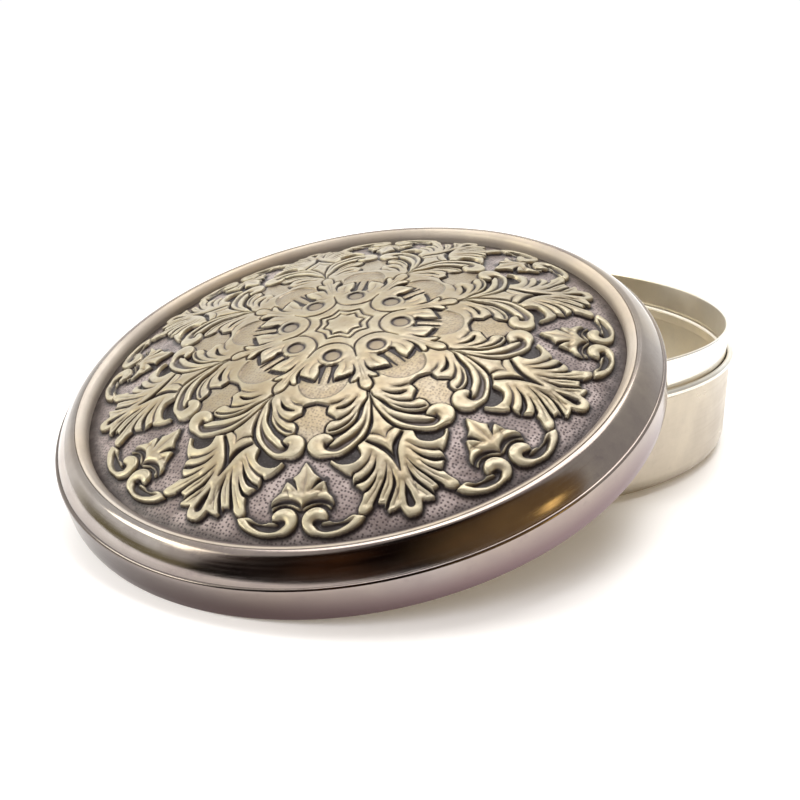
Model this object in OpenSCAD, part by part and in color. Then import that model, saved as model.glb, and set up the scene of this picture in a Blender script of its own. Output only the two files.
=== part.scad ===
// Round slip-lid pill box, shown open: the lid is off and leans on the rim of the base.
// Row frame: origin at the centre of the base's flat underside, +Z up, lid's low edge towards -Y.
// Lid modules are drawn upright in their own frame (z = 0 at the skirt's lower edge) and then placed.

/* [Output] */
// Node to build

/* [Sheet] */
// Thickness of the drawn sheet
sheet_t = 0.4; // [0.3:0.05:0.6]
// Radial running clearance between the neck and the lid's skirt
lid_fit = 0.05; // [0.02:0.01:0.1]
// Radial gap between parts that are soldered together
seam = 0.03; // [0.01:0.01:0.05]

/* [Base] */
// Outer radius of the straight wall
wall_r = 32; // [24:0.5:40]
// Height of the straight wall's top edge
wall_h = 10.85; // [8:0.05:14]
// Outer radius of the rounded lower corner
corner_r = 2.1; // [1:0.1:3]
// Height of the top of the neck
neck_top = 14.9; // [13.5:0.05:18]
// Length of neck hidden inside the wall
neck_tuck = 1.1; // [0.6:0.1:2]
// Section radius of the stop bead's wire
bead_r = 0.42; // [0.3:0.02:0.6]
// Depth of the groove rolled into the neck's inside, level with the bead
groove_d = 0.28; // [0.1:0.02:0.32]

/* [Lid rim] */
// Height of the middle of the rounded shoulder above the skirt
skirt_h = 3.08; // [2.8:0.02:3.3]
// Section radius of the shoulder
ridge_r = 0.28; // [0.2:0.02:0.4]
// Section radius of the moulding's rounded top
roll_r = 1.3; // [1:0.1:1.6]
// Radius at which the moulding's top is centred
roll_at = 29.3; // [29.2:0.02:29.5]
// Section radius of the moulding's long outer slope
slope_r = 5.3; // [5:0.1:5.6]
// Angle at which the top passes into the slope
slope_turn = 55; // [50:1:60]
// Height of the moulding's top
mould_top = 5.4; // [5.2:0.05:5.6]
// Depth of the pocket that holds the bezel and the plaque
pocket_d = 1.9; // [1.5:0.05:2.1]
// Width of the ledge that carries the plaque
ledge_w = 1.2; // [0.8:0.1:2]

/* [Bezel and plaque] */
// Width of the bezel, and section radius of its rounded inner edge
bezel_w = 1; // [0.8:0.05:1.2]
// Outer radius of the bezel
bezel_at = 29.2; // [29:0.05:29.25]
// How far the bezel reaches in over the plaque's edge
lip = 0.07; // [0.04:0.01:0.12]
// Height of the plaque's middle above its edge, on the ground surface
dome_h = 5.1; // [2:0.1:7]
// Thickness of the plaque's sheet
plaque_t = 0.45; // [0.3:0.05:0.8]
// Height of the relief above the ground
relief_h = 0.55; // [0.2:0.05:1]
// Number of repeats round the rosette
repeats = 8; // [6:1:12]
// Turn of the rosette on the lid
phase = 18.785; // [0:0.005:45]

/* [Lean] */
// Tilt of the lid off the table
lean = 18.85; // [17:0.05:21]
// Gap left where the lid touches the neck
lean_gap = 0.03; // [0.02:0.01:0.1]

/* [Hidden] */
$fn = 128;
neck_r = wall_r - sheet_t - lid_fit;
bead_at = neck_r + bead_r + seam / 2;
bead_z = wall_h + bead_r;
skirt_in = wall_r - sheet_t;
// The slope's arc and the top's arc share a tangent where they meet.
slope_x = roll_at - (slope_r - roll_r) * cos(slope_turn);
slope_z = mould_top - roll_r - (slope_r - roll_r) * sin(slope_turn);
seat_z = mould_top - pocket_d;
pocket_r = bezel_at + seam;
bezel_in = bezel_at - bezel_w;
ledge_r = bezel_in - ledge_w;
plaque_r = bezel_in + lip;
edge_z = seat_z + plaque_t;
dome_r = (plaque_r * plaque_r + dome_h * dome_h) / (2 * dome_h);
// The lid rests on the table at one point and on the neck's rim at two points to the sides.
touch_t = (neck_top + lean_gap) / tan(lean);
touch_along = touch_t / cos(lean) - wall_r;
touch_half = sqrt(skirt_in * skirt_in - touch_along * touch_along);
lean_reach = touch_t + sqrt(neck_r * neck_r - touch_half * touch_half);
lid_back = lean_reach - wall_r * cos(lean);
lid_up = wall_r * sin(lean) + 0.01;

// ---------- base ----------

// Outline of a cup of radius r, height h and corner c, from the axis outwards.
module cup_section(r, h, c)
{
    square([r - c, h]);
    translate([0, c])
        square([r, h - c]);
    translate([r - c, c])
        circle(r = c);
}

module base_cup()
{
    color([0.80, 0.79, 0.76])
        rotate_extrude()
            intersection()
            {
                difference()
                {
                    cup_section(wall_r, wall_h, corner_r);
                    translate([0, sheet_t])
                        cup_section(wall_r - sheet_t, wall_h, corner_r - sheet_t);
                }
                square([wall_r + 1, wall_h + 1]);
            }
}

module neck_ring()
{
    low = wall_h - neck_tuck;
    groove_r = 0.5;
    color([0.88, 0.87, 0.85])
        rotate_extrude()
            difference()
            {
                union()
                {
                    translate([neck_r - sheet_t, low])
                        square([sheet_t, neck_top - low - sheet_t / 2]);
                    translate([neck_r - sheet_t / 2, neck_top - sheet_t / 2])
                        circle(r = sheet_t / 2);
                }
                translate([neck_r - sheet_t + groove_d - groove_r, bead_z])
                    circle(r = groove_r);
            }
}

module stop_bead()
{
    color([0.86, 0.85, 0.83])
        rotate_extrude()
            translate([bead_at, bead_z])
                circle(r = bead_r);
}

// ---------- lid, upright ----------

// Solid under the rim's outer surface, or under its inner surface when cut is the sheet's thickness.
module rim_section(cut)
{
    far = 2 * slope_r;
    square([wall_r - cut, skirt_h - cut]);
    square([roll_at, mould_top - cut]);
    translate([roll_at, mould_top - roll_r])
        circle(r = roll_r - cut);
    intersection()
    {
        square([wall_r - cut, mould_top]);
        translate([slope_x, slope_z])
            circle(r = slope_r - cut);
        translate([slope_x, slope_z])
            polygon([[0, 0], [far, 0], [far * cos(slope_turn), far * sin(slope_turn)]]);
    }
}

module lid_rim()
{
    sunk = 0.2;
    color([0.74, 0.71, 0.70])
        rotate_extrude()
        {
            difference()
            {
                union()
                {
                    rim_section(0);
                    translate([wall_r - ridge_r, skirt_h])
                        circle(r = ridge_r);
                }
                translate([0, -0.01])
                    rim_section(sheet_t);
                // pocket for the bezel and the plaque
                translate([0, seat_z])
                    square([pocket_r, mould_top]);
                square([ledge_r, mould_top + 1]);
            }
            // ledge under the plaque's edge
            translate([ledge_r, seat_z - sheet_t])
                square([pocket_r + sheet_t - ledge_r, sheet_t]);
            // upright wall of the pocket
            translate([pocket_r, seat_z - sheet_t])
                square([sheet_t, pocket_d + sheet_t - sunk]);
        }
}

// Ring with an upright inner wall and a rounded inner edge, set in the pocket over the plaque's edge.
module bezel_ring()
{
    foot_h = pocket_d - bezel_w;
    color([0.83, 0.79, 0.68])
        rotate_extrude()
            difference()
            {
                union()
                {
                    translate([bezel_in, seat_z])
                        square([bezel_w, foot_h]);
                    intersection()
                    {
                        translate([bezel_at, seat_z + foot_h])
                            circle(r = bezel_w);
                        translate([bezel_in, seat_z + foot_h])
                            square(bezel_w);
                    }
                }
                // room for the plaque's edge under the lip
                translate([0, seat_z - 1])
                    square([plaque_r + seam, plaque_t + seam + 1]);
            }
}

// Solid of the dome whose rim is at radius plaque_r and height z.
module dome_body(z, grow)
{
    rotate_extrude()
        intersection()
        {
            translate([0, z + dome_h - dome_r])
                circle(r = dome_r + grow, $fn = 256);
            translate([0, z - 1])
                square([plaque_r, dome_h + 5]);
        }
}

// One half of an acanthus leaf in plan, its stem on the +X axis.
module half_leaf()
{
    lobe = 3;
    polygon([[15.6, 0], [18.2, 2.6], [20.6, 3.4], [23.6, 4.2], [25.6, 2.6], [24.4, 1.2], [26.2, 0]]);
    for (i = [0 : lobe - 1])
        translate([17.6 + 2.7 * i, 1.8 + 0.9 * i])
            rotate(38 - 9 * i)
                translate([1.2, 0])
                    circle(r = 1.25, $fn = 32);
}

// Loop round an eye, with its open foot towards the middle.
module eye_loop()
{
    difference()
    {
        translate([6.3, 0])
            circle(r = 2.15, $fn = 48);
        translate([6.3, 0])
            circle(r = 0.85, $fn = 32);
    }
}

// Pair of scrolls and a bud near the rim.
module bud()
{
    for (s = [-1, 1])
        translate([24.6, 1.5 * s])
            difference()
            {
                circle(r = 1.45, $fn = 32);
                translate([0.25, 0.2 * s])
                    circle(r = 0.6, $fn = 32);
            }
    polygon([[20.2, 0], [22.4, 1.9], [23.8, 0.9], [23.8, -0.9], [22.4, -1.9]]);
}

// Pair of facing scrolls at mid radius.
module lyre()
{
    for (s = [-1, 1])
        difference()
        {
            translate([15.9, 2.3 * s])
                circle(r = 2.6, $fn = 48);
            translate([15.3, 1.9 * s])
                circle(r = 1.7, $fn = 48);
        }
}

module rosette_plan()
{
    step = 360 / repeats;
    for (k = [0 : repeats - 1])
        rotate(k * step)
        {
            eye_loop();
            bud();
            lyre();
            rotate(step / 2)
                for (s = [0, 1])
                    mirror([0, s])
                        half_leaf();
        }
    for (s = [0, 45])
        rotate(s)
            square(5.4, center = true);
}

module embossed_plaque()
{
    color([0.80, 0.74, 0.56])
    {
        difference()
        {
            dome_body(edge_z, 0);
            dome_body(edge_z - plaque_t, 0);
            translate([0, 0, seat_z - 5])
                cylinder(r = plaque_r + 1, h = 5);
        }
        intersection()
        {
            difference()
            {
                dome_body(edge_z, relief_h);
                dome_body(edge_z, -0.1);
            }
            rotate(phase)
                linear_extrude(20)
                    rosette_plan();
        }
    }
}

// Lean of the lid: low edge on the table, sides on the neck's rim.
module leaning()
{
    translate([0, -lid_back, lid_up])
        rotate([lean, 0, 0])
            children();
}

base_cup();
neck_ring();
stop_bead();
leaning() lid_rim();
leaning() bezel_ring();
leaning() embossed_plaque();
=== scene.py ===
from math import acos, atan2, cos, degrees, hypot, pi, radians, sin, sqrt, tan

import bpy
import numpy as np
from mathutils import Matrix, Vector


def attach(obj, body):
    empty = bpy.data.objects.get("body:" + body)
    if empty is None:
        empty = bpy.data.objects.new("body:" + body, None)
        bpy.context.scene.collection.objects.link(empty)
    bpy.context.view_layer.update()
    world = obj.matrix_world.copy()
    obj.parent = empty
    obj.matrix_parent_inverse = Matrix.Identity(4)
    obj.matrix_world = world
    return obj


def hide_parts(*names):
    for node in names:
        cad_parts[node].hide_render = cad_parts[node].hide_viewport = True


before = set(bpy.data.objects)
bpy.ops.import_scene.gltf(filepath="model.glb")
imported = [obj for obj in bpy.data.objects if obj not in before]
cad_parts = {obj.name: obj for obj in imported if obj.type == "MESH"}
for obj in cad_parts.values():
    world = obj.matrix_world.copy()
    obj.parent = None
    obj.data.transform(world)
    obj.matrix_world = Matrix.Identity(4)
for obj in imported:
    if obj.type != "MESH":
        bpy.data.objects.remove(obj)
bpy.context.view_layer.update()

MM = 0.001

# ---------- sizes, in mm ----------

SHEET = 0.4                   # thickness of the drawn sheet
WALL_R = 32.0                 # outer radius of the wall and of the lid's skirt
WALL_H = 10.85
CORNER_R = 2.1
NECK_R = 31.55
NECK_TOP = 14.9
NECK_LOW = 9.75
BEAD_R = 0.42
SKIRT_H = 3.08
RIDGE_R = 0.28
ROLL_R = 1.3                  # rounding of the moulding's top
ROLL_AT = 29.3
SLOPE_R = 5.3                 # rounding of its long outer slope
SLOPE_TURN = 55               # where one passes into the other, in degrees
MOULD_TOP = 5.4
SEAT_Z = 3.5
LEDGE_R = 27.0
BEZEL_R = 1.0                 # rounding of the bezel's inner edge
BEZEL_AT = 29.2
PLAQUE_R = 28.27
PLAQUE_T = 0.45
PHASE = 18.785                # turn of the ornament on the lid, in degrees
DOME_H = 5.1
RELIEF_H = 0.50               # height of the relief near the rim
DRAWN_H = 0.62                # height of the tallest shape as it is drawn below
SEAM = 0.03                   # gap between pieces that are soldered together
LEAN = 18.85                  # tilt of the lid, in degrees
LEAN_GAP = 0.03

EDGE_Z = SEAT_Z + PLAQUE_T
DOME_R = (PLAQUE_R ** 2 + DOME_H ** 2) / (2 * DOME_H)


def lid_place():
    """Where the lid leans: low edge on the table, sides on the neck's rim."""
    tilt = radians(LEAN)
    touch = (NECK_TOP + LEAN_GAP) / tan(tilt)
    along = touch / cos(tilt) - WALL_R
    half = sqrt((WALL_R - SHEET) ** 2 - along ** 2)
    reach = touch + sqrt(NECK_R ** 2 - half ** 2)
    back = reach - WALL_R * cos(tilt)
    up = WALL_R * sin(tilt) + 0.01
    move = Matrix.Translation((0, -back * MM, up * MM))
    return move @ Matrix.Rotation(tilt, 4, "X")


LID = lid_place()

# ---------- camera and light ----------

CAMERA_AT = (0.05543, -0.11591, 0.04395)
HEADING = 29.768              # where the camera looks, in degrees to the left of +Y
PITCH_DOWN = 18.061           # and how far down
LENS = 45.69


def camera():
    """A camera at the photograph's viewing angle."""
    cam = bpy.data.objects.new("camera", bpy.data.cameras.new("camera"))
    cam.data.lens = LENS
    cam.data.sensor_width = 36
    cam.data.clip_start = 0.001
    cam.location = CAMERA_AT
    cam.rotation_euler = (radians(90 - PITCH_DOWN), 0, radians(HEADING))
    bpy.context.scene.collection.objects.link(cam)
    bpy.context.scene.camera = cam


def panel(name, at, aim, size, power, colour):
    """A soft rectangular light at one point, facing another."""
    data = bpy.data.lights.new(name, "AREA")
    data.shape = "RECTANGLE"
    data.size, data.size_y = size
    data.energy = power
    data.color = colour
    light = bpy.data.objects.new(name, data)
    light.location = at
    light.rotation_euler = (Vector(aim) - Vector(at)).to_track_quat("-Z", "Y").to_euler()
    bpy.context.scene.collection.objects.link(light)
    return light


def toward(azimuth, height, far):
    """A place far metres off and height degrees up, azimuth degrees to the left of straight behind."""
    turn = radians(azimuth + 90 + HEADING)
    up = radians(height)
    return (far * cos(up) * cos(turn), far * cos(up) * sin(turn), far * sin(up))


def lights():
    """A window on the left, the sky high behind, a lamp on the right and fill that mirrors don't see."""
    middle = (0, -0.02, 0.01)
    panel("window", toward(97, 35, 0.7), middle, (0.36, 0.18), 0.95, (1.0, 0.98, 0.82))
    panel("sky", toward(10, 72, 0.8), middle, (0.6, 0.3), 2.0, (1.0, 0.98, 0.98))
    panel("lamp", toward(-128, 22, 0.7), middle, (0.07, 0.16), 0.10, (1.0, 0.70, 0.24))
    fills = [panel("fill_front", toward(150, 35, 0.8), middle, (0.5, 0.5), 5.5, (0.96, 0.96, 1.0)),
             panel("fill_over", toward(-60, 75, 0.8), middle, (0.4, 0.4), 4.0, (1.0, 0.99, 0.95))]
    for fill in fills:
        fill.visible_glossy = False


def room():
    """What the polished metal mirrors: bright behind the box, mauve overhead, brown on the near side.

    The camera itself sees plain white."""
    world = bpy.data.worlds.new("room")
    world.use_nodes = True
    n = Nodes(world)
    way = n.node("ShaderNodeTexCoord").outputs["Generated"]
    behind = n.dot(way, toward(35, 0, 1))
    upward = n.height(way)
    bright = n.mix(n.span(upward, 0.25, 0.6), (1.40, 1.39, 1.35), (1.0, 0.99, 0.96))
    colour = n.mix(n.span(behind, -0.35, 0.6), (0.58, 0.575, 0.57), bright)
    left = n.span(n.dot(way, toward(100, 0, 1)), 0.75, 0.95)
    low_left = n.math("MULTIPLY", n.span(upward, 0.34, 0.20), left)
    colour = n.mix(low_left, colour, (0.34, 0.30, 0.17))
    colour = n.mix(n.span(upward, 0.86, 0.97), colour, (0.50, 0.46, 0.46))
    patch = n.noise(way, 2.6, 3)
    brown = n.mix(n.span(patch, 0.45, 0.72), (0.005, 0.002, 0.002), (0.10, 0.04, 0.015))
    brown = n.mix(n.span(n.dot(way, toward(-118, 25, 1)), 0.55, 0.95), brown, (0.26, 0.17, 0.08))
    level = n.node("ShaderNodeVectorMath", {0: way, 1: (1, 1, 0)}, operation="MULTIPLY").outputs[0]
    flat = n.node("ShaderNodeVectorMath", {0: level}, operation="LENGTH").outputs["Value"]
    close = n.math("SUBTRACT", n.dot(way, toward(184, 0, 1)), n.math("MULTIPLY", flat, 0.33))
    colour = n.mix(n.span(close, 0.03, 0.11), colour, brown)
    seen = n.node("ShaderNodeLightPath").outputs["Is Camera Ray"]
    colour = n.mix(seen, colour, (1.02, 1.02, 1.02))
    n.tree.links.new(colour, n.tree.nodes["Background"].inputs["Color"])
    bpy.context.scene.world = world


# ---------- meshes ----------


def mesh_object(name, points, faces, place=None):
    """An object from points in mm and a list of face arrays, each of one corner count."""
    mesh = bpy.data.meshes.new(name)
    mesh.vertices.add(len(points))
    mesh.vertices.foreach_set("co", (np.asarray(points) * MM).ravel())
    corners = np.concatenate([f.ravel() for f in faces])
    counts = np.concatenate([np.full(len(f), f.shape[1]) for f in faces])
    mesh.loops.add(len(corners))
    mesh.loops.foreach_set("vertex_index", corners.astype(np.int32))
    mesh.polygons.add(len(counts))
    starts = np.concatenate([[0], np.cumsum(counts)[:-1]])
    mesh.polygons.foreach_set("loop_start", starts.astype(np.int32))
    mesh.update(calc_edges=True)
    mesh.validate()
    mesh.shade_smooth()
    obj = bpy.data.objects.new(name, mesh)
    bpy.context.scene.collection.objects.link(obj)
    if place is not None:
        obj.matrix_world = place
    return obj


def waves(a, s, seed, count=14):
    """Small smooth unevenness, from -1 to 1 or so, over angle a and distance s."""
    rng = np.random.default_rng(seed)
    total = 0
    for _ in range(count):
        turns = int(rng.integers(1, 12))
        pitch = rng.uniform(0.1, 1.1)
        total = total + np.sin(turns * a + pitch * s + rng.uniform(0, 2 * pi)) / (turns ** 0.5)
    return total / count ** 0.5


def bow(centre, radius, start, end, count):
    """Points of an arc in the outline plane, with angles in degrees."""
    angles = [radians(start + (end - start) * i / count) for i in range(count + 1)]
    return [(centre[0] + radius * cos(a), centre[1] + radius * sin(a)) for a in angles]


def divide(outline, longest):
    """The outline with more points on its long straight stretches."""
    out = [outline[0]]
    for a, b in zip(outline, outline[1:]):
        dx, dy = b[0] - a[0], b[1] - a[1]
        n = max(1, int(hypot(dx, dy) / longest))
        out += [(a[0] + dx * i / n, a[1] + dy * i / n) for i in range(1, n + 1)]
    return out


def lathe(name, outline, seed, uneven=0.012, turns=360, place=None):
    """Spins an outline of (radius, height) points. It ends on the axis, or else it is closed."""
    on_axis = outline[0][0] == 0
    line = np.array(divide(outline if on_axis else outline + outline[:1], 0.7))
    if not on_axis:
        line = line[:-1]
    ring = line[1:-1] if on_axis else line
    a = np.arange(turns) * 2 * pi / turns
    s = np.arange(len(ring)) * 0.4
    grid_a, grid_s = np.meshgrid(a, s)
    bump = uneven * waves(grid_a, grid_s, seed)
    r = ring[:, :1] + bump
    z = ring[:, 1:] + 0.4 * bump * (ring[:, 1:] > 0.5)
    points = np.stack([r * np.cos(grid_a), r * np.sin(grid_a), z], -1).reshape(-1, 3)
    count = len(ring) - 1 if on_axis else len(ring)
    rows, cols = np.meshgrid(np.arange(count), np.arange(turns), indexing="ij")
    nxt = (cols + 1) % turns
    here, above = rows * turns, (rows + 1) % len(ring) * turns
    quads = np.stack([here + cols, here + nxt, above + nxt, above + cols], -1)
    faces = [quads.reshape(-1, 4)]
    if on_axis:
        poles = [(0, 0, line[0][1]), (0, 0, line[-1][1])]
        low, high = len(points), len(points) + 1
        points = np.concatenate([points, poles])
        c = np.arange(turns)
        d = (c + 1) % turns
        last = (len(ring) - 1) * turns
        faces.append(np.stack([d, c, np.full(turns, low)], -1))
        faces.append(np.stack([last + c, last + d, np.full(turns, high)], -1))
    obj = mesh_object(name, points, faces, place)
    obj.data.set_sharp_from_angle(angle=radians(38))
    return obj


def line_inside(obj, mat, radius, low):
    """A finish for the faces that look inwards, within a radius and above a height in mm."""
    obj.data.materials.append(mat)
    for face in obj.data.polygons:
        x, y, z = face.center / MM
        inward = -(face.normal.x * x + face.normal.y * y)
        if z > low and hypot(x, y) < radius and (inward > 0 or face.normal.z > 0.8):
            face.material_index = 1


def meet(c1, r1, c2, r2):
    """The outer crossing of two circles, as its angle in degrees about each centre."""
    dx, dy = c2[0] - c1[0], c2[1] - c1[1]
    d = hypot(dx, dy)
    half = acos((r1 * r1 + d * d - r2 * r2) / (2 * d * r1))
    a1 = atan2(dy, dx) + half
    x, y = c1[0] + r1 * cos(a1), c1[1] + r1 * sin(a1)
    return degrees(a1), degrees(atan2(y - c2[1], x - c2[0]))


def cup_outline():
    """Straight wall with a rounded lower corner, from the axis outwards and back along the inside."""
    c = (WALL_R - CORNER_R, CORNER_R)
    lip = 0.12
    out = [(0, 0), (WALL_R - CORNER_R - 3, 0)] + bow(c, CORNER_R, -90, 0, 20)
    out += bow((WALL_R - lip, WALL_H - lip), lip, 0, 90, 5)
    out += bow((WALL_R - SHEET + 0.06, WALL_H - 0.06), 0.06, 90, 180, 3)
    out += bow(c, CORNER_R - SHEET, 0, -90, 16)
    return out + [(0, SHEET)]


def neck_outline():
    """Straight collar with a rolled groove inside, level with the bead."""
    mid = NECK_R - SHEET / 2
    groove = bow((NECK_R - SHEET - 0.22, WALL_H + BEAD_R), 0.5, 64, -64, 14)
    out = bow((mid, NECK_TOP - SHEET / 2), SHEET / 2, 0, 180, 12) + groove
    return out + bow((mid, NECK_LOW + 0.12), 0.12, -150, -30, 4)


def bead_outline():
    """Round wire soldered to the neck, on the edge of the wall."""
    return bow((NECK_R + BEAD_R + 0.015, WALL_H + BEAD_R), BEAD_R, 0, 345, 23)


def slope_centre():
    """Centre of the long slope's arc, which meets the roll without a corner."""
    turn = radians(SLOPE_TURN)
    gap = ROLL_R - SLOPE_R
    return (ROLL_AT + gap * cos(turn), MOULD_TOP - ROLL_R + gap * sin(turn))


def rim_outline():
    """Skirt, rounded shoulder, broad moulding and the pocket for the bezel."""
    shoulder = (WALL_R - RIDGE_R, SKIRT_H)
    slope = slope_centre()
    roll = (ROLL_AT, MOULD_TOP - ROLL_R)
    on_slope, on_shoulder = meet(slope, SLOPE_R, shoulder, RIDGE_R)
    inner = WALL_R - SHEET
    pocket = BEZEL_AT + SEAM
    out = bow((WALL_R - 0.08, 0.08), 0.08, -90, 0, 4)
    out += bow(shoulder, RIDGE_R, 0, on_shoulder, 16)
    out += bow(slope, SLOPE_R, on_slope, SLOPE_TURN, 30)
    out += bow(roll, ROLL_R, SLOPE_TURN, 91, 24)[1:]
    out += [(pocket + 0.02, MOULD_TOP - 0.015), (pocket, MOULD_TOP - 0.05)]
    out += [(pocket, SEAT_Z), (LEDGE_R, SEAT_Z)]
    out += [(LEDGE_R, SEAT_Z - SHEET), (pocket + SHEET, SEAT_Z - SHEET)]
    out += bow(roll, ROLL_R - SHEET, 88, SLOPE_TURN, 8)
    out += bow(slope, SLOPE_R - SHEET, SLOPE_TURN, on_slope - 2, 10)
    return out + [(inner, SKIRT_H - 0.1), (inner, 0.05), (inner + 0.05, 0)]


def bezel_outline():
    """Ring with an upright inner wall and a rounded inner edge, flush with the moulding outside."""
    out = [(BEZEL_AT, SEAT_Z), (BEZEL_AT, MOULD_TOP - 0.05)]
    out += bow((BEZEL_AT, MOULD_TOP - BEZEL_R), BEZEL_R, 92, 180, 26)
    step = EDGE_Z + SEAM
    return out + [(BEZEL_AT - BEZEL_R, step), (PLAQUE_R + SEAM, step), (PLAQUE_R + SEAM, SEAT_Z)]


# ---------- drawing the relief ----------
# The ornament repeats eight times and mirrors, so it is drawn in half of one repeat: the eye axis
# is x, the leaf axis is at STEP. Lengths are mm. Later shapes are laid over earlier ones.

STEP = radians(22.5)
EYE = (6.0, 0.0)


def curve(points, closed=False, per=7):
    """Smooth line through points. A third number marks a corner."""
    runs, run = [], []
    for p in list(points) + ([points[0]] if closed else []):
        run.append(p[:2])
        if len(p) > 2 and len(run) > 1:
            runs.append(run)
            run = [p[:2]]
    if len(run) > 1:
        runs.append(run)
    out = []
    t = np.linspace(0, 1, per, endpoint=False)[:, None]
    for run in runs:
        q = np.array([run[0]] + run + [run[-1]], float)
        q[0] = 2 * q[1] - q[2]
        q[-1] = 2 * q[-2] - q[-3]
        for a, b, c, d in zip(q, q[1:], q[2:], q[3:]):
            bend = (2 * a - 5 * b + 4 * c - d) * t ** 2 + (3 * b - a - 3 * c + d) * t ** 3
            out.append(0.5 * (2 * b + (c - a) * t + bend))
    return np.concatenate(out + [np.array([runs[-1][-1]], float)])


def near(p, line, widths=None):
    """Distance of each point from the line, less the line's half-width there."""
    a, b = line[:-1], line[1:]
    ab = b - a
    w = np.zeros(len(line)) if widths is None else widths
    best = np.full(len(p), 1e9)
    for k in range(0, len(a), 8):
        s = slice(k, k + 8)
        ap = p[:, None] - a[None, s]
        t = np.clip((ap * ab[s]).sum(-1) / np.maximum((ab[s] ** 2).sum(-1), 1e-12), 0, 1)
        d = np.hypot(ap[..., 0] - t * ab[s][:, 0], ap[..., 1] - t * ab[s][:, 1])
        d = d - (w[:-1][s] + t * (w[1:][s] - w[:-1][s]))
        best = np.minimum(best, d.min(1))
    return best


def inside(p, line):
    """Which points are inside a closed line."""
    odd = np.zeros(len(p), bool)
    for (ax, ay), (bx, by) in zip(line, line[1:]):
        if ay != by:
            crosses = (ay > p[:, 1]) != (by > p[:, 1])
            odd ^= crosses & (p[:, 0] < (bx - ax) * (p[:, 1] - ay) / (by - ay) + ax)
    return odd


def signed(p, line):
    """Distance inside a closed line, negative outside."""
    return near(p, line) * np.where(inside(p, line), 1, -1)


def rise(s, edge):
    """0 at an edge, rounding up to 1 at the distance edge inside it."""
    t = np.clip(s / edge, 0, 1)
    return np.sqrt(1 - (1 - t) ** 2)


def soft(s, width):
    """0 at 0, passing smoothly to 1 at width."""
    t = np.clip(s / width, 0, 1)
    return t * t * (3 - 2 * t)


def spiral(c, r, a0, a1, n):
    """Points on a spiral about c, from radius r[0] to r[1]."""
    t = [i / (n - 1) for i in range(n)]
    turn = [radians(a0 + (a1 - a0) * k) for k in t]
    size = [r[0] + (r[1] - r[0]) * k for k in t]
    return [(c[0] + k * cos(b), c[1] + k * sin(b)) for k, b in zip(size, turn)]


def axis(r, off=0.0):
    """Point at radius r on the leaf axis, off to its side."""
    return (r * cos(STEP) + off * sin(STEP), r * sin(STEP) - off * cos(STEP))


class Relief:
    """Height over the ground at a set of points, built up shape by shape."""

    def __init__(self, p):
        self.p = p
        self.h = np.zeros(len(p))
        self.free = np.full(len(p), 2.0)      # distance from the nearest raised shape
        self.dark = np.zeros(len(p))          # oxide left in the grooves
        self.punched = np.ones(len(p))        # where the ground's fine dots are

    def around(self, line, grow):
        lo, hi = line.min(0) - grow, line.max(0) + grow
        return np.all((self.p > lo) & (self.p < hi), 1)

    def add(self, m, s, top, edge, bulge, wide, moat):
        h = self.h[m]
        over = top * rise(s, edge) + bulge * soft(s, wide)
        self.h[m] = np.where(s > 0, over, h * soft(-s, moat))
        line = 0.85 * (1 - soft(-s, moat + 0.1))
        self.dark[m] = np.where(s > 0, 0.6 * (1 - soft(s, 0.1)), np.maximum(self.dark[m], line))
        self.punched[m] = np.where(s > 0, 0, self.punched[m])
        self.free[m] = np.minimum(self.free[m], np.where(s > 0, 0, -s))

    def shape(self, points, top=0.55, edge=0.15, bulge=0.05, wide=0.9, moat=0.14):
        """A raised area with rounded edges and a fine moat round it."""
        line = curve(points, closed=True)
        m = self.around(line, 1.0)
        self.add(m, signed(self.p[m], line), top, edge, bulge, wide, moat)

    def cut(self, points, widths, depth=0.5, edge=0.12, low=0.0, flute=0.10, ink=1.0):
        """A tapered groove, depth deep but not below low. flute rounds the metal down beside it."""
        line = curve(points, per=6)
        w = np.interp(np.linspace(0, len(widths) - 1, len(line)), range(len(widths)), widths)
        m = self.around(line, w.max() + 0.6)
        s = -near(self.p[m], line, w)
        k = soft(s, edge)
        h = self.h[m]
        if flute:
            h = np.where(h > low, h - np.minimum(flute, h - low) * soft(s + 0.55, 0.7) ** 1.5, h)
        self.h[m] = np.where(h > low, h + (np.maximum(h - depth, low) - h) * k, h)
        ink = min(1.0, ink * depth / 0.3)
        self.dark[m] = np.maximum(self.dark[m], ink * soft(s + 0.03, 0.6 * edge))

    def stain(self, points, width, ink):
        """A dark line with no depth of its own."""
        line = curve(points, per=6)
        m = self.around(line, width + 0.1)
        k = soft(width - near(self.p[m], line), width)
        self.dark[m] = np.maximum(self.dark[m], ink * k)

    def floor(self, points, level, edge=0.15):
        """A sunk area whose floor is at level."""
        line = curve(points, closed=True)
        m = self.around(line, 0.1)
        k = soft(signed(self.p[m], line), edge)
        self.h[m] += (level - self.h[m]) * k
        self.punched[m] += (0.35 - self.punched[m]) * k


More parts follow.
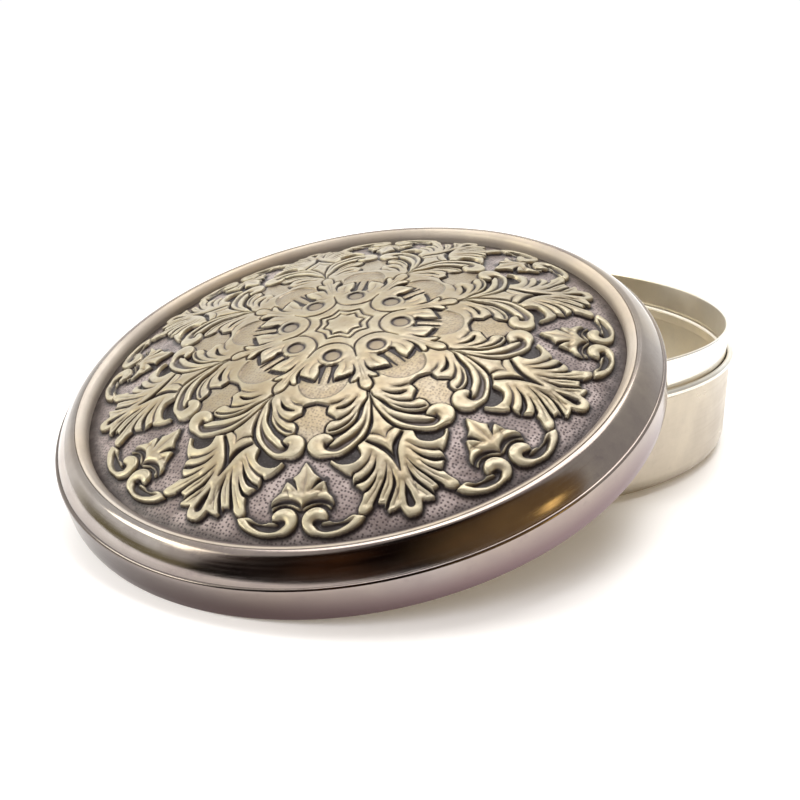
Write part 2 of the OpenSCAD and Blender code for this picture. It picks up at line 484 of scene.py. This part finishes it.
def acanthus(R):
    """Half of the large leaf that fans out towards the rim, with its flutes and hollows."""
    near_eye = [axis(13.4) + (1,), (15.1, 5.68), (16.6, 5.5), (17.5, 4.95), (18.1, 4.35), (18.95, 3.3),
                (19.45, 2.35), (19.75, 2.05, 1), (20.3, 2.55), (20.95, 3.35), (21.2, 3.95, 1),
                (20.95, 4.2, 1), (21.5, 4.15), (22.05, 4.3, 1), (22.35, 4.75), (22.8, 5.35, 1)]
    side_lobes = [(23.6, 5.3), (24.4, 5.05), (24.95, 5.15, 1), (24.8, 5.8), (24.4, 6.3), (24.0, 6.6, 1),
                  (24.2, 7.0), (24.3, 7.5, 1), (24.8, 7.7), (25.2, 8.05, 1), (25.0, 8.6), (24.7, 9.05, 1)]
    tip = [(25.2, 9.45), (25.5, 9.95), axis(27.5), axis(28.0, -1.6) + (1,), axis(13.4, -1.6) + (1,)]
    R.shape(near_eye + side_lobes + tip, top=0.6, bulge=0.08, wide=1.4)
    R.cut([(19.3, 6.25), (20.6, 5.95), (21.5, 5.35), (21.95, 4.55)], [0.02, 0.17, 0.27, 0.24])
    R.cut([(20.9, 6.45), (21.9, 6.2), (22.6, 5.75), (22.8, 5.3)], [0.02, 0.12, 0.18, 0.2])
    R.cut([(18.7, 5.9), (19.8, 5.45), (20.6, 4.75), (20.95, 4.2)], [0.02, 0.1, 0.14, 0.16], depth=0.26)
    R.cut([(19.9, 7.2), (21.6, 7.2), (23.0, 6.95), (24.1, 6.6)], [0.02, 0.13, 0.19, 0.28])
    R.cut([(20.6, 7.75), (22.3, 8.15), (23.6, 8.1), (24.7, 7.8)], [0.02, 0.16, 0.2, 0.22])
    R.cut([(21.8, 6.75), (22.9, 6.4), (24.0, 5.75)], [0.02, 0.08, 0.03], depth=0.16)
    R.cut([(21.2, 7.5), (22.5, 7.62), (23.9, 7.35)], [0.02, 0.09, 0.05], depth=0.16)
    R.cut([(21.9, 8.62), (23.2, 8.72), (24.6, 8.45)], [0.02, 0.1, 0.06], depth=0.16)
    R.cut([axis(21.6, 0.75), axis(23.4, 0.8), axis(25.6, 1.0)], [0.02, 0.09, 0.03], depth=0.16)
    R.floor([(17.7, 4.6), (18.4, 3.6), (19.0, 2.7), (19.35, 2.15), (19.8, 2.4), (20.15, 2.95),
             (20.15, 3.8), (19.75, 4.55), (18.95, 5.0)], 0.0, 0.2)
    R.cut([axis(23.8), axis(25.2), axis(26.2)], [0.03, 0.34, 0.46], edge=0.22, ink=0.8)
    R.cut([(17.35, 5.4), (18.1, 6.8), (19.1, 7.75), axis(22.3)], [0.2, 0.32, 0.27, 0.1], edge=0.2)
    R.cut([(16.5, 5.6), (16.6, 6.4), (17.1, 7.1)], [0.1, 0.06, 0.02], depth=0.3, edge=0.08)


def plateau(R):
    """Raised middle field that ends in the leaves round each star opening."""
    leaves = [(12.7, -1.5, 1), (12.7, 0, 1), (12.9, 0.77), (13.1, 1.25, 1), (13.5, 1.16), (14.1, 1.22, 1),
              (14.3, 1.6), (14.65, 2.03), (14.95, 2.28, 1), (15.15, 1.78), (15.7, 1.45), (16.35, 1.45),
              (16.65, 1.8, 1), (16.5, 2.4), (15.9, 3.32), (14.7, 4.1), (13.3, 4.3), (12.4, 4.6)]
    middle = [axis(12.6) + (1,), axis(12.6, -1.5) + (1,), (-4, 6, 1), (-4, -1.5, 1)]
    R.shape(leaves + middle, top=0.5, bulge=0.06, wide=1.0)
    R.cut([(12.0, 3.75), (12.9, 3.3), (13.4, 2.75), (13.6, 2.1)], [0.02, 0.17, 0.23, 0.12])
    R.cut([(13.0, 3.95), (14.2, 3.35), (14.85, 2.6), (14.95, 2.2)], [0.02, 0.12, 0.16, 0.14], depth=0.28)
    R.cut([(13.9, 4.1), (15.2, 3.4), (16.0, 2.5), (16.25, 1.8)], [0.02, 0.13, 0.16, 0.12], depth=0.28)
    R.cut([(12.2, 2.75), (12.75, 2.1), (12.95, 1.4)], [0.02, 0.12, 0.1], depth=0.24)
    star_opening = [(12.75, -0.9, 1), (12.75, 0, 1), (12.95, 0.75), (13.1, 1.2, 1), (13.5, 1.1),
                    (14.1, 1.18, 1), (14.65, 1.98), (14.95, 2.2, 1), (15.2, 1.7), (15.7, 1.4),
                    (16.4, 1.4, 1), (17.5, 0.6, 1), (18, -0.9, 1)]
    R.floor(star_opening, 0.24, 0.22)
    R.stain([(12.8, -0.9), (12.8, 0), (13.0, 0.75), (13.15, 1.2)], 0.34, 0.95)
    R.stain([(13.15, 1.2), (14.1, 1.22, 1), (14.95, 2.24, 1), (15.2, 1.75), (15.7, 1.43), (16.4, 1.43)],
            0.16, 0.9)
    R.stain([(10.3, 2.4), (11.1, 2.1), (11.75, 1.6), (12.15, 0.9), (12.25, 0), (12.2, -0.9)], 0.1, 0.75)
    R.floor([(7.0, -0.9, 1), (7.0, 1.2, 1), (9.0, 2.6, 1), (10.2, 2.45), (11.1, 2.1), (11.75, 1.6),
             (12.15, 0.9), (12.25, 0), (12.2, -0.9, 1)], 0.36, 0.16)


def lyre(R):
    """One of the pair of scrolls that face each other across the eye axis."""
    outside = [axis(11.9) + (1,), (12.6, 5.15), (13.6, 5.38), (15.1, 5.45), (16.6, 5.22), (18.0, 4.25),
               (18.95, 3.1)]
    volute = spiral((17.9, 1.42), (1.36, 1.3), 25, -215, 9)
    inner = [(17.15, 2.5, 1), (16.75, 3.05), (16.1, 3.65), (14.7, 4.45), (13.1, 4.62), (12.2, 4.75),
             (11.4, 4.6, 1)]
    R.shape(outside + volute + inner, top=0.6, bulge=0.05, wide=0.5)
    channel = [(13.2, 4.98), (15.2, 4.95), (16.6, 4.45), (17.6, 3.6), (18.25, 2.7), (18.2, 2.0),
               (17.75, 1.75)]
    R.cut(channel, [0.03, 0.16, 0.3, 0.42, 0.42, 0.34, 0.2], depth=0.36, edge=0.28, ink=0.6)
    R.cut([(17.0, 2.55), (17.45, 2.4), (17.85, 1.95)], [0.12, 0.12, 0.2], depth=0.5)


def bud(R):
    """Three-pointed flower whose foot is hollowed round the two volutes."""
    R.shape([(19.65, 0, 1), (20.3, 0.42), (20.9, 0.72), (21.4, 1.32, 1), (21.6, 1.68, 1), (22.2, 1.92),
             (22.85, 2.25), (23.3, 2.66), (23.9, 2.84), (24.45, 2.6, 1), (24.0, 2.0), (24.0, 1.2),
             (24.5, 0.3, 1), (24.6, -1.2, 1), (19.9, -1.2, 1)], top=0.58, bulge=0.07, wide=0.9)
    R.cut([(21.35, 1.70), (21.75, 1.15), (22.6, 0.62)], [0.30, 0.26, 0.04])
    R.cut([(20.3, 0.0), (21.6, 0.06), (22.9, 0.0)], [0.02, 0.05, 0.02], depth=0.12)
    R.cut([(22.2, 1.62), (22.8, 1.45), (23.3, 1.2)], [0.03, 0.07, 0.02], depth=0.14)
    foot = (25.4, 1.45)
    R.cut(spiral(foot, (2.85, 2.75), 128, 200, 7), [0.02, 0.22, 0.26, 0.02], depth=0.15, edge=0.3, ink=0.25)
    R.cut(spiral(foot, (1.85, 1.75), 112, 240, 9), [0.1, 0.28, 0.36, 0.36, 0.3, 0.14], edge=0.3, ink=0.5)


def rim_scroll(R):
    """Hollow scroll that curls up under the bud, its tail towards the leaf."""
    outside = [(24.9, 5.2, 1), (25.0, 5.8, 1), (25.8, 5.35), (26.5, 4.3), (26.92, 3.0)]
    volute = spiral((25.45, 1.5), (1.46, 1.1), 10, -248, 10)
    inner = [(25.4, 2.52, 1), (25.6, 3.1), (25.42, 3.9), (24.95, 4.6)]
    R.shape(outside + volute + inner, top=0.6, bulge=0.05, wide=0.5)
    R.cut([(25.1, 5.0), (25.62, 4.25), (25.98, 3.4), (26.16, 2.55), (26.12, 1.95), (25.8, 1.6)],
          [0.03, 0.30, 0.46, 0.48, 0.42, 0.36], depth=0.5, edge=0.3, ink=0.42)
    R.cut([(25.5, 2.7), (25.58, 2.2), (25.7, 1.62), (25.8, 1.5)], [0.12, 0.14, 0.32, 0.3], edge=0.16)
    R.cut([(24.6, 1.9), (24.5, 1.3), (24.8, 0.75)], [0.03, 0.08, 0.03], depth=0.1)


def eye_leaf(R):
    """Loop round an eye and the leaf that grows from it along the leaf axis."""
    loop = [(3.75, 0, 1)] + spiral(EYE, (2.25, 2.25), 170, 115, 5)
    stem = [axis(6.5) + (1,), axis(7, -1.2) + (1,), axis(12.0, -1.2) + (1,), axis(12.0) + (1,),
            axis(11.88, 0.32), axis(11.4, 0.62)]
    lobes = [(10.2, 3.55, 1), (9.5, 3.42, 1), (9.95, 3.2), (10.15, 2.8, 1), (9.6, 2.55), (8.8, 2.55, 1),
             (9.35, 1.95), (9.75, 1.02, 1), (8.9, 0.8), (8.2, 0.78), (7.6, 0.85), (7.4, 0.5)]
    close = [(7.3, 0, 1), (7.3, -1.2, 1), (3.75, -1.2, 1)]
    R.shape(loop + stem + lobes + close, top=DRAWN_H, bulge=0.05, wide=0.8, moat=0.2)
    R.cut([(7.1, 2.35), (8.1, 2.72), (8.8, 2.75), (9.7, 2.6)], [0.02, 0.13, 0.2, 0.14], depth=0.5)
    R.cut([axis(7.2), axis(8.8, 0.12), axis(10.4, 0.2)], [0.02, 0.08, 0.03], depth=0.12)
    R.cut([(6.9, 1.55), (7.8, 1.75), (8.7, 1.65)], [0.02, 0.09, 0.03], depth=0.12)
    R.cut(spiral(EYE, (1.45, 1.3), 75, 20, 5), [0.02, 0.08, 0.08, 0.1, 0.16], depth=0.2)
    R.cut([(7.5, 0.66), (7.7, 0.62), (8.5, 0.52), (9.9, 0.46)], [0.38, 0.36, 0.2, 0.12], depth=0.6)
    R.cut([(8.75, 2.5), (9.2, 1.95), (9.45, 1.45), (9.6, 1.0)], [0.08, 0.2, 0.24, 0.1])
    R.cut([(5.83, 0), (5.87, 0)], [0.92, 0.92], depth=0.22, edge=0.2, low=0.16, flute=0.05, ink=0.36)
    pupil = (5.85, 0)
    R.cut(spiral(pupil, (0.86, 0.86), -20, 200, 14), [0.13, 0.13], depth=0.3, edge=0.12, flute=0.03)
    R.stain(spiral(pupil, (0.88, 0.88), -20, 200, 14), 0.34, 1.0)


def star(R, tip, mid, top):
    """Eight-pointed star in the middle, its tips at radius tip and the hollows between them at mid."""
    turn = 2 * STEP
    x, y = axis(tip)
    points = [(x, -y, 1), (mid, 0), (x, y, 1), (mid * cos(turn), mid * sin(turn), 1), (-3, 2.5, 1),
              (-3, -2.5, 1)]
    R.shape(points, top=top, edge=0.15, moat=0.28)


def ornament(p):
    """The whole relief, drawn from the ground up."""
    R = Relief(p)
    acanthus(R)
    plateau(R)
    lyre(R)
    bud(R)
    rim_scroll(R)
    eye_leaf(R)
    star(R, 2.9, 2.35, 0.5)
    star(R, 2.05, 1.6, 0.56)
    return R


# ---------- the plaque ----------

PITCH = 0.04                  # spacing of the table that the relief is worked out on
LOW_Y = -0.4                  # the table's reach
TABLE_X = 28.6
TABLE_Y = 11.4
RINGS = 312                   # rings of the front lattice, a multiple of 3
SLIP = 1.9                    # turn of the outer ornament on one side, in degrees
SLIP_SIDE = 255               # where on the lid that is, in degrees


def blur(table, sigma):
    """A table smoothed over sigma mm."""
    pad = int(3 * sigma / PITCH)
    wide = np.pad(table, pad, mode="edge")
    fy = np.fft.fftfreq(wide.shape[0], PITCH)[:, None]
    fx = np.fft.rfftfreq(wide.shape[1], PITCH)[None]
    kernel = np.exp(-2 * (pi * sigma) ** 2 * (fx ** 2 + fy ** 2))
    out = np.fft.irfft2(np.fft.rfft2(wide) * kernel, wide.shape)
    return out[pad:-pad, pad:-pad]


def relief_tables():
    """Height, distance from raised shapes, oxide, dots and smoothed height, over half of one repeat."""
    gx, gy = np.meshgrid(np.arange(0, TABLE_X, PITCH), np.arange(LOW_Y, TABLE_Y, PITCH))
    p = np.stack([gx.ravel(), gy.ravel()], 1)
    a = np.arctan2(p[:, 1], p[:, 0])
    r = np.hypot(*p.T)
    used = (a < STEP + 0.06) & (a > -STEP) & (r < 28.9) | (r < 1.5)
    R = ornament(p[used])
    tables = []
    for values, empty in ((R.h, 0.0), (R.free, 2.0), (R.dark, 0.0), (R.punched, 1.0)):
        table = np.full(len(p), empty)
        table[used] = values
        tables.append(table.reshape(gx.shape))
    return tables + [blur(tables[0], 0.45)]


def look_up(table, p):
    """Values of a table at points in the half repeat."""
    x = np.clip(p[:, 0] / PITCH, 0, table.shape[1] - 1.001)
    y = np.clip((p[:, 1] - LOW_Y) / PITCH, 0, table.shape[0] - 1.001)
    i, j = x.astype(int), y.astype(int)
    u, v = x - i, y - j
    low = table[j, i] * (1 - u) + table[j, i + 1] * u
    high = table[j + 1, i] * (1 - u) + table[j + 1, i + 1] * u
    return low * (1 - v) + high * v


def drift(p, seed, size):
    """A slow wandering value over the plane, so that no two repeats are quite alike."""
    rng = np.random.default_rng(seed)
    total = np.zeros(len(p))
    for _ in range(16):
        k = rng.normal(0, 1, 2) * rng.uniform(0.15, 0.9)
        total += np.sin(p @ k + rng.uniform(0, 2 * pi))
    return size * total / 4


def fold(p):
    """Points brought into the half repeat between the eye axis and the leaf axis.

    The outer ornament is turned a little on one side, and the leaves' tips are drawn in a little."""
    r = np.hypot(p[:, 0], p[:, 1])
    a = np.arctan2(p[:, 1], p[:, 0])
    outer = soft(r - 17.5, 4)
    slip = radians(SLIP) * outer * soft(np.cos(a - radians(SLIP_SIDE)) - 0.3, 0.5)
    a = np.abs((a - radians(PHASE) - slip + STEP) % (2 * STEP) - STEP)
    leaf = soft(a - radians(13), radians(6))
    r = r * (1 + 0.03 * soft(r - 21, 4) * leaf)
    return np.stack([r * np.cos(a), r * np.sin(a)], 1)


def lattice(rings):
    """Points of a disc, ring k holding 8k of them, with a centre, and the triangles between."""
    points = [np.zeros((1, 2))]
    faces = []
    start, before = 1, 0
    for k in range(1, rings + 1):
        a = np.arange(8 * k) * 2 * pi / (8 * k)
        r = PLAQUE_R * k / rings
        points.append(np.stack([r * np.cos(a), r * np.sin(a)], 1))
        w, i = np.meshgrid(np.arange(8), np.arange(k), indexing="ij")
        outer = start + w * k + i
        outer2 = start + (w * k + i + 1) % (8 * k)
        inner = before + (w * (k - 1) + i) % max(1, 8 * (k - 1))
        faces.append(np.stack([outer, outer2, inner], -1).reshape(-1, 3))
        if k > 1:
            inner2 = before + (w * (k - 1) + i + 1) % (8 * (k - 1))
            second = np.stack([inner, outer2, inner2], -1)[:, :-1]
            faces.append(second.reshape(-1, 3))
        before, start = start, start + 8 * k
    return np.concatenate(points), np.concatenate(faces)


def domed(p, lift):
    """Points on the dome, moved out along its normal by lift."""
    z = np.sqrt(DOME_R ** 2 - (p ** 2).sum(1))
    k = 1 + lift / DOME_R
    base = EDGE_Z + DOME_H - DOME_R
    return np.stack([p[:, 0] * k, p[:, 1] * k, base + z * k], 1)


def plaque():
    """The domed sheet with its relief, a softer hollow back and the marks that its finish reads."""
    height, free, dark, punched, smooth = relief_tables()
    p, faces = lattice(RINGS)
    r = np.hypot(p[:, 0], p[:, 1])
    shift = np.stack([drift(p, 3, 0.045), drift(p, 4, 0.045)], 1)
    q = fold(p + shift)
    h = look_up(height, q)
    edge = soft(PLAQUE_R - r, 0.5)
    pits = drift(p * 3.1, 5, 0.010) + drift(p * 9.0, 6, 0.006)
    depth = RELIEF_H / DRAWN_H * (0.6 + 0.4 * soft(r - 5, 9))
    lift = edge * (h * depth * (1 + drift(p, 7, 0.03)) + pits)
    front = domed(p, lift)
    bp, bfaces = lattice(RINGS // 3)
    hb = look_up(smooth, fold(bp)) * soft(PLAQUE_R - np.hypot(*bp.T), 1.0)
    back = domed(bp, 0.85 * hb - PLAQUE_T)
    rim = np.hypot(*bp.T) > PLAQUE_R - 0.01
    back[rim, :2] = bp[rim]
    n, nb = len(front), len(back)
    f0, b0 = n - 8 * RINGS, n + nb - 8 * RINGS // 3
    m = np.arange(8 * RINGS // 3)
    f = [f0 + (3 * m + i) % (8 * RINGS) for i in range(4)]
    b, b2 = b0 + m, b0 + (m + 1) % len(m)
    side = np.concatenate([np.stack(t, -1) for t in
                           ((f[1], f[0], b), (f[2], f[1], b), (f[2], b, b2), (f[3], f[2], b2))])
    points = np.concatenate([front, back])
    obj = mesh_object("plaque", points, [faces, bfaces[:, ::-1] + n, side], LID)
    flat = np.zeros(nb)
    rim_oxide = 0.9 * soft(r - 26.3, 1.4) * (1 - soft(h, 0.3))
    marks = {"height": (h, flat),
             "free": (look_up(free, q), flat + 2),
             "cavity": (h - look_up(smooth, q), flat),
             "dark": (np.maximum(look_up(dark, q), rim_oxide), flat),
             "punched": (look_up(punched, q) * soft(27.9 - r, 0.4), flat)}
    for name, (top, under) in marks.items():
        layer = obj.data.attributes.new(name, "FLOAT", "POINT")
        layer.data.foreach_set("value", np.concatenate([top, under]).astype(np.float32))
    which = np.zeros(len(obj.data.polygons), np.int32)
    which[len(faces):] = 1
    obj.data.materials.append(plaque_face())
    behind = silver("plaque_back", (0.62, 0.58, 0.50), (0.40, 0.36, 0.31), 0.42, 0.5)
    obj.data.materials.append(behind)
    obj.data.polygons.foreach_set("material_index", which)
    return obj


# ---------- finishes ----------


class Nodes:
    """Shader nodes in the making, for a material or the world."""

    def __init__(self, owner):
        self.owner = owner
        self.tree = owner.node_tree
        self.shader = self.tree.nodes.get("Principled BSDF")

    def node(self, kind, inputs=None, **settings):
        made = self.tree.nodes.new(kind)
        for key, value in settings.items():
            setattr(made, key, value)
        for key, value in (inputs or {}).items():
            if isinstance(value, bpy.types.NodeSocket):
                self.tree.links.new(value, made.inputs[key])
            else:
                made.inputs[key].default_value = value
        return made

    def noise(self, vector, scale, detail=4.0, rough=0.6):
        return self.node("ShaderNodeTexNoise", {"Vector": vector, "Scale": scale, "Detail": detail,
                                                "Roughness": rough}).outputs["Fac"]

    def span(self, value, low, high, to_low=0.0, to_high=1.0):
        return self.node("ShaderNodeMapRange", {0: value, 1: low, 2: high, 3: to_low, 4: to_high},
                         interpolation_type="SMOOTHSTEP").outputs[0]

    def math(self, kind, a, b=0.0):
        return self.node("ShaderNodeMath", {0: a, 1: b}, operation=kind).outputs[0]

    def mix(self, fac, a, b):
        made = self.node("ShaderNodeMix", {0: fac}, data_type="RGBA")
        for i, value in ((6, a), (7, b)):
            if isinstance(value, tuple):
                made.inputs[i].default_value = value + (1,)
            else:
                self.tree.links.new(value, made.inputs[i])
        return made.outputs[2]

    def dot(self, vector, other):
        made = self.node("ShaderNodeVectorMath", {0: vector, 1: other}, operation="DOT_PRODUCT")
        return made.outputs["Value"]

    def bump(self, height, strength, distance, normal=None):
        inputs = {"Height": height, "Strength": strength, "Distance": distance}
        if normal is not None:
            inputs["Normal"] = normal
        return self.node("ShaderNodeBump", inputs).outputs[0]

    def place(self):
        return self.node("ShaderNodeTexCoord").outputs["Object"]

    def height(self, vector):
        return self.node("ShaderNodeSeparateXYZ", {0: vector}).outputs[2]

    def attribute(self, name):
        return self.node("ShaderNodeAttribute", attribute_name=name).outputs["Fac"]

    def turned(self, vector, across, along):
        """Coordinates that run round the axis, for marks left by turning and polishing."""
        part = self.node("ShaderNodeSeparateXYZ", {0: vector})
        x, y, z = part.outputs
        square = self.math("ADD", self.math("POWER", x, 2.0), self.math("POWER", y, 2.0))
        r = self.math("POWER", square, 0.5)
        a = self.math("ARCTAN2", y, x)
        return self.node("ShaderNodeCombineXYZ", {0: self.math("MULTIPLY", r, across),
                                                  1: self.math("MULTIPLY", a, along),
                                                  2: self.math("MULTIPLY", z, across)}).outputs[0]

    def finish(self, colour, rough, normal, metallic=1.0):
        links = self.tree.links
        links.new(colour, self.shader.inputs["Base Color"])
        links.new(rough, self.shader.inputs["Roughness"])
        links.new(normal, self.shader.inputs["Normal"])
        self.shader.inputs["Metallic"].default_value = metallic
        return self.owner


def material(name):
    """A new material and the maker of its nodes."""
    mat = bpy.data.materials.new(name)
    mat.use_nodes = True
    return Nodes(mat)


def ray(angle):
    """Direction across the lid, in degrees from its own x axis."""
    return (cos(radians(angle)), sin(radians(angle)), 0)


def silver(name, clean, dull, rough, tarnish, foot=None, metallic=1.0, front=None):
    """Old silver plate: cloudy tarnish, polishing lines round the axis and fine scratches.

    With foot, painted shade darkens the metal to that colour towards its lower edge, and painted
    shade darkens it further on the side away from 30 degrees. With front, painted shade darkens it
    to that colour below its upper edge, on the side at 300."""
    n = material(name)
    at = n.place()
    cloud = n.noise(at, 95, 5, 0.62)
    spots = n.noise(at, 620, 3, 0.7)
    amount = n.math("MULTIPLY", n.span(spots, 0.55, 0.75), 0.35)
    amount = n.math("ADD", n.span(cloud, 0.36, 0.68), amount)
    yellowed = tuple(c * k for c, k in zip(clean, (1.0, 0.94, 0.84)))
    warm = n.mix(n.span(n.noise(at, 40, 2), 0.4, 0.6), clean, yellowed)
    colour = n.mix(n.math("MULTIPLY", amount, tarnish), warm, dull)
    if foot is not None:
        # painted shade: darker towards the lower edge
        height = n.math("ADD", n.height(at), n.math("MULTIPLY", cloud, 0.0012))
        colour = n.mix(n.span(height, 0.0008, 0.0046, 1.0, 0.0), colour, foot)
        # painted shade on the side away from 30 degrees, strongest on the skirt
        side = n.span(n.dot(at, ray(30)), -0.034, 0.020, 0.86, 0.0)
        side = n.math("MULTIPLY", side, n.span(height, 0.0034, 0.0046, 1.0, 0.2))
        colour = n.mix(side, colour, (0.05, 0.035, 0.03))
    if front is not None:
        # painted shade on the front side, below the upper edge
        painted_front_shade = n.span(n.dot(at, ray(300)), 0.004, 0.026)
        low = n.span(n.height(at), 0.00532, 0.005385, 0.9, 0.0)
        colour = n.mix(n.math("MULTIPLY", painted_front_shade, low), colour, front)
    lines = n.noise(n.turned(at, 5200, 2.0), 1.0, 3, 0.7)
    drawn_out = n.node("ShaderNodeMapping", {0: at, 2: (0.4, 0.9, 0.3), 3: (1500, 120, 1500)})
    scratch = n.noise(drawn_out.outputs[0], 1.0, 2)
    roughness = n.math("ADD", n.span(cloud, 0.35, 0.7, rough * 0.85, rough * 1.2),
                       n.span(lines, 0.4, 0.7, -0.03, 0.05))
    normal = n.bump(lines, 0.12, 0.00002)
    normal = n.bump(n.span(scratch, 0.62, 0.74), 0.10, 0.00002, normal)
    return n.finish(colour, roughness, normal, metallic)


def plaque_face():
    """Gilt-toned relief over an oxidised, punched ground, with painted highlights on the crests and painted
    shade in the hollows and next to the raised shapes.
    """
    n = material("plaque_face")
    at = n.place()
    height, cavity = n.attribute("height"), n.attribute("cavity")
    cell = n.node("ShaderNodeTexVoronoi", {"Vector": at, "Scale": 2700.0, "Randomness": 0.6},
                  voronoi_dimensions="2D").outputs["Distance"]
    dots = n.math("MULTIPLY", n.span(cell, 0.14, 0.38, 1.0, 0.0), n.attribute("punched"))
    cloud = n.noise(at, 260, 4)
    fine = n.noise(at, 1800, 3)
    # lighter on the crests: wear and a painted highlight
    gold = n.mix(n.span(cavity, 0.0, 0.2), (0.33, 0.26, 0.155), (0.50, 0.44, 0.30))
    gold = n.mix(n.span(cloud, 0.4, 0.66, 0.0, 0.5), gold, (0.42, 0.375, 0.29))
    gold = n.mix(n.span(fine, 0.5, 0.75, 0.0, 0.45), gold, (0.27, 0.205, 0.145))
    # darker in the hollows: patina and painted shade
    gold = n.mix(n.span(cavity, -0.2, 0.03, 0.85, 0.0), gold, (0.13, 0.095, 0.09))
    ground = n.mix(n.span(cloud, 0.36, 0.62), (0.21, 0.165, 0.155), (0.44, 0.365, 0.345))
    # painted shade: the ground goes near black next to each raised shape
    ground = n.mix(n.span(n.attribute("free"), 0.08, 0.55, 1.0, 0.0), ground, (0.020, 0.014, 0.013))
    raised = n.span(height, 0.08, 0.24)
    colour = n.mix(raised, ground, gold)
    colour = n.mix(n.math("MULTIPLY", dots, 0.85), colour, (0.070, 0.050, 0.055))
    worn = n.span(n.noise(at, 700, 2), 0.35, 0.6, 0.8, 0.98)
    oxide = n.math("MULTIPLY", n.attribute("dark"), worn)
    colour = n.mix(oxide, colour, (0.030, 0.021, 0.021))
    rough = n.math("ADD", n.span(raised, 0.0, 1.0, 0.5, 0.36), n.span(fine, 0.3, 0.7, -0.04, 0.07))
    normal = n.bump(dots, 0.7, 0.00006)
    n.tree.nodes["Bump"].invert = True
    normal = n.bump(fine, 0.12, 0.00003, normal)
    n.shader.inputs["Coat Weight"].default_value = 0.55
    n.shader.inputs["Coat Roughness"].default_value = 0.35
    return n.finish(colour, rough, normal, 0.72)


def paper():
    """The table top: white and faintly glossy, with painted light: a glow of its own, weaker and khaki near
    the box as a painted shadow.
    """
    n = material("paper")
    at = n.place()
    colour = n.mix(n.noise(at, 9, 3), (0.86, 0.86, 0.88), (0.88, 0.88, 0.89))
    rough = n.span(n.noise(at, 60, 3), 0.3, 0.7, 0.36, 0.44)
    normal = n.bump(n.noise(at, 900, 2), 0.03, 0.00005)
    away = n.node("ShaderNodeVectorMath", {0: at}, operation="LENGTH").outputs["Value"]
    # painted light: the table glows, with a painted khaki shadow close to the box
    painted_glow = n.mix(n.span(away, 0.05, 0.22), (0.15, 0.125, 0.09), (0.6, 0.6, 0.61))
    n.tree.links.new(painted_glow, n.shader.inputs["Emission Color"])
    n.shader.inputs["Emission Strength"].default_value = 1.0
    return n.finish(colour, rough, normal, 0.0)


def floor():
    """The flat table top."""
    half = 4000
    points = [(-half, -half, 0), (half, -half, 0), (half, half, 0), (-half, half, 0)]
    obj = mesh_object("table", points, [np.array([[0, 1, 2, 3]])])
    obj.location.z = -0.02 * MM
    obj.data.materials.append(paper())


# ---------- building it ----------


def build(obj, body, node, mat=None):
    """Puts an object on its body in the place of its CAD node."""
    if mat is not None:
        obj.data.materials.append(mat)
    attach(obj, body)
    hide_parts(node)
    return obj


camera()
lights()
room()
floor()
bpy.context.scene.view_settings.view_transform = "Standard"

cup = build(lathe("cup", cup_outline(), 11), "base", "base_cup",
            silver("silver_cup", (0.52, 0.49, 0.43), (0.40, 0.35, 0.29), 0.32, 0.6))
neck = build(lathe("neck", neck_outline(), 12, 0.004), "base", "neck_ring",
             silver("silver_neck", (0.93, 0.92, 0.89), (0.74, 0.70, 0.62), 0.24, 0.4))
bead = build(lathe("bead", bead_outline(), 13, 0.006), "base", "stop_bead",
             silver("silver_bead", (0.80, 0.80, 0.78), (0.50, 0.46, 0.40), 0.18, 0.4))
# the rim's skirt gets painted shade towards its lower edge and on the side away from 30 degrees
rim = build(lathe("rim", rim_outline(), 14, 0.010, 480, LID), "lid", "lid_rim",
            silver("silver_rim", (0.42, 0.385, 0.36), (0.25, 0.205, 0.20), 0.16, 0.6,
                   foot=(0.185, 0.13, 0.135)))
# the bezel gets painted shade on its front side, below its top
bezel = build(lathe("bezel", bezel_outline(), 15, 0.006, 480, LID), "lid", "bezel_ring",
              silver("silver_bezel", (0.54, 0.485, 0.42), (0.40, 0.35, 0.30), 0.5, 0.6,
                     metallic=0.5, front=(0.10, 0.075, 0.075)))
medal = build(plaque(), "lid", "embossed_plaque")

cup_lining = silver("cup_inside", (0.90, 0.87, 0.80), (0.74, 0.69, 0.60), 0.46, 0.5)
line_inside(cup, cup_lining, WALL_R - SHEET / 2, 0.2)
neck_lining = silver("neck_inside", (0.93, 0.90, 0.84), (0.76, 0.70, 0.60), 0.42, 0.5)
line_inside(neck, neck_lining, NECK_R - SHEET / 2, 0)
